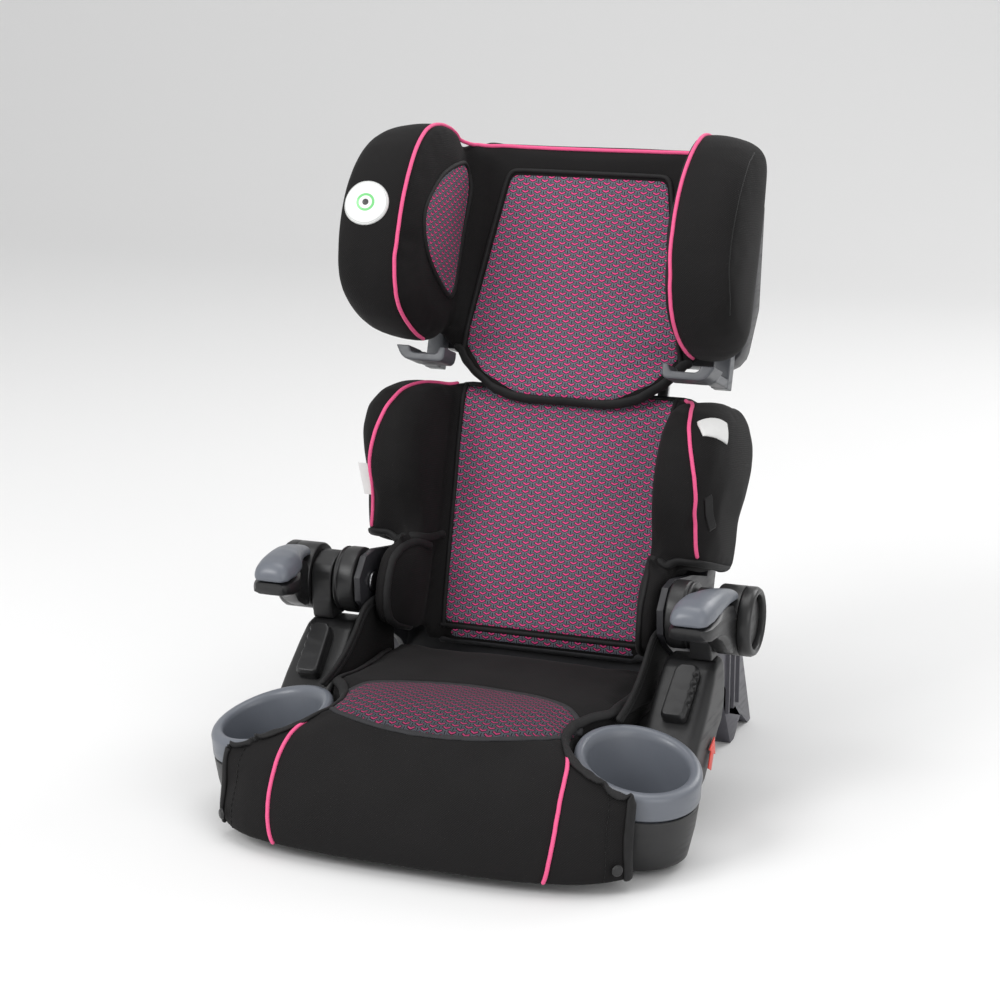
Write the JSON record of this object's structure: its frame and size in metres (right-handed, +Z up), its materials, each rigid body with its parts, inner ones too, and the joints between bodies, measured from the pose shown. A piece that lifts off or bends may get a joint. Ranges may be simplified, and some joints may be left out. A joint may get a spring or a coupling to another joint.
{
  "type": "high-back booster seat",
  "caption": "Folding high-back child booster with a padded winged head support that slides up, side bolsters, flip-up armrests, cup holders and shoulder belt guides.",
  "frame": {"origin": "on the flat underside of the base, on the centre plane, 0.222 m behind the front edge of the floor plate", "axes": "+Z up, -Y towards the front where the child's legs hang, +X to the right as seen from the front"},
  "size_m": [0.504, 0.6186, 0.644],
  "materials": {
    "black_plastic": "fine satin grain",
    "grey_plastic": "semi-gloss",
    "dark_grey_plastic": "satin",
    "black_fabric": "woven polyester over padding",
    "steel": "bright",
    "red_plastic": "satin"
  },
  "bodies": {
    "base": {"base_shell": "black_plastic", "base_floor_plate": "black_plastic", "seat_cushion": "black_fabric", "cup_holder_left": "grey_plastic", "cup_holder_right": "grey_plastic", "cup_base_left": "black_plastic", "cup_base_right": "black_plastic", "upright_left": "black_plastic", "upright_right": "black_plastic", "hub_bracket_left": "black_plastic", "hub_bracket_right": "black_plastic", "hinge_pin_left": "steel", "hinge_pin_right": "steel", "belt_arrow_left": "red_plastic", "belt_arrow_right": "red_plastic", "cover_snap_left": "black_plastic", "cover_snap_right": "black_plastic", "side_flap_left": "black_fabric", "side_flap_right": "black_fabric"},
    "back": {"back_frame": "dark_grey_plastic", "back_cushion": "black_fabric", "height_rack": "grey_plastic", "back_bolster_left": "black_fabric", "back_bolster_right": "black_fabric", "hip_pad_left": "black_fabric", "hip_pad_right": "black_fabric", "fold_drum_left": "black_plastic", "fold_drum_right": "black_plastic", "rear_leg_left": "dark_grey_plastic", "rear_leg_right": "dark_grey_plastic", "head_rail_left": "steel", "head_rail_right": "steel"},
    "head": {"head_pad": "black_fabric", "head_shell": "grey_plastic", "head_carriage": "grey_plastic", "head_stem": "grey_plastic", "head_wing_left": "black_fabric", "head_wing_right": "black_fabric", "belt_guide_left": "grey_plastic", "belt_guide_right": "grey_plastic"},
    "height_latch": {"height_pawl": "steel", "lever_rod": "steel"},
    "lever": {"height_lever": "grey_plastic"},
    "arm_left": {"arm_body_left": "black_plastic", "arm_cap_left": "grey_plastic", "hub_ring_left": "black_plastic", "hub_disc_left": "dark_grey_plastic"},
    "arm_right": {"arm_body_right": "black_plastic", "arm_cap_right": "grey_plastic", "hub_ring_right": "black_plastic", "hub_disc_right": "dark_grey_plastic"},
    "handle_left": {"release_handle_left": "black_plastic"},
    "handle_right": {"release_handle_right": "black_plastic"}
  },
  "joints": [
    {"name": "back_fold", "type": "hinge", "parent": "base", "child": "back", "pos_m": [0, 0.045, 0.186], "axis": [1, 0, 0], "range_deg": [0, 100]},
    {"name": "head_height", "type": "slide", "parent": "back", "child": "head", "axis": [0, 0.3338, 0.9426], "range_m": [0, 0.105]},
    {"name": "height_lever_pull", "type": "hinge", "parent": "head", "child": "lever", "pos_m": [0, 0.33202, 0.51719], "axis": [-1, 0, 0], "range_deg": [0, 20], "stiffness_Nm_per_rad": 0.4, "springref_deg": -28.65},
    {"name": "height_latch_pull", "type": "slide", "parent": "head", "child": "height_latch", "axis": [0, -0.3338, -0.9426], "range_m": [0, 0.0045]},
    {"name": "arm_left_flip", "type": "hinge", "parent": "base", "child": "arm_left", "pos_m": [-0.225, 0.045, 0.186], "axis": [-1, 0, 0], "range_deg": [0, 100]},
    {"name": "handle_left_slide", "type": "slide", "parent": "base", "child": "handle_left", "axis": [0, 0.7667, 0.642], "range_m": [0, 0.008], "stiffness_N_per_m": 400, "springref_m": -0.005},
    {"name": "arm_right_flip", "type": "hinge", "parent": "base", "child": "arm_right", "pos_m": [0.225, 0.045, 0.186], "axis": [-1, 0, 0], "range_deg": [0, 100]},
    {"name": "handle_right_slide", "type": "slide", "parent": "base", "child": "handle_right", "axis": [0, 0.7667, 0.642], "range_m": [0, 0.008], "stiffness_N_per_m": 400, "springref_m": -0.005}
  ],
  "couplings": [
    {"joint": "height_latch_pull", "follows": "height_lever_pull", "m_per_rad": 0.0115}
  ]
}
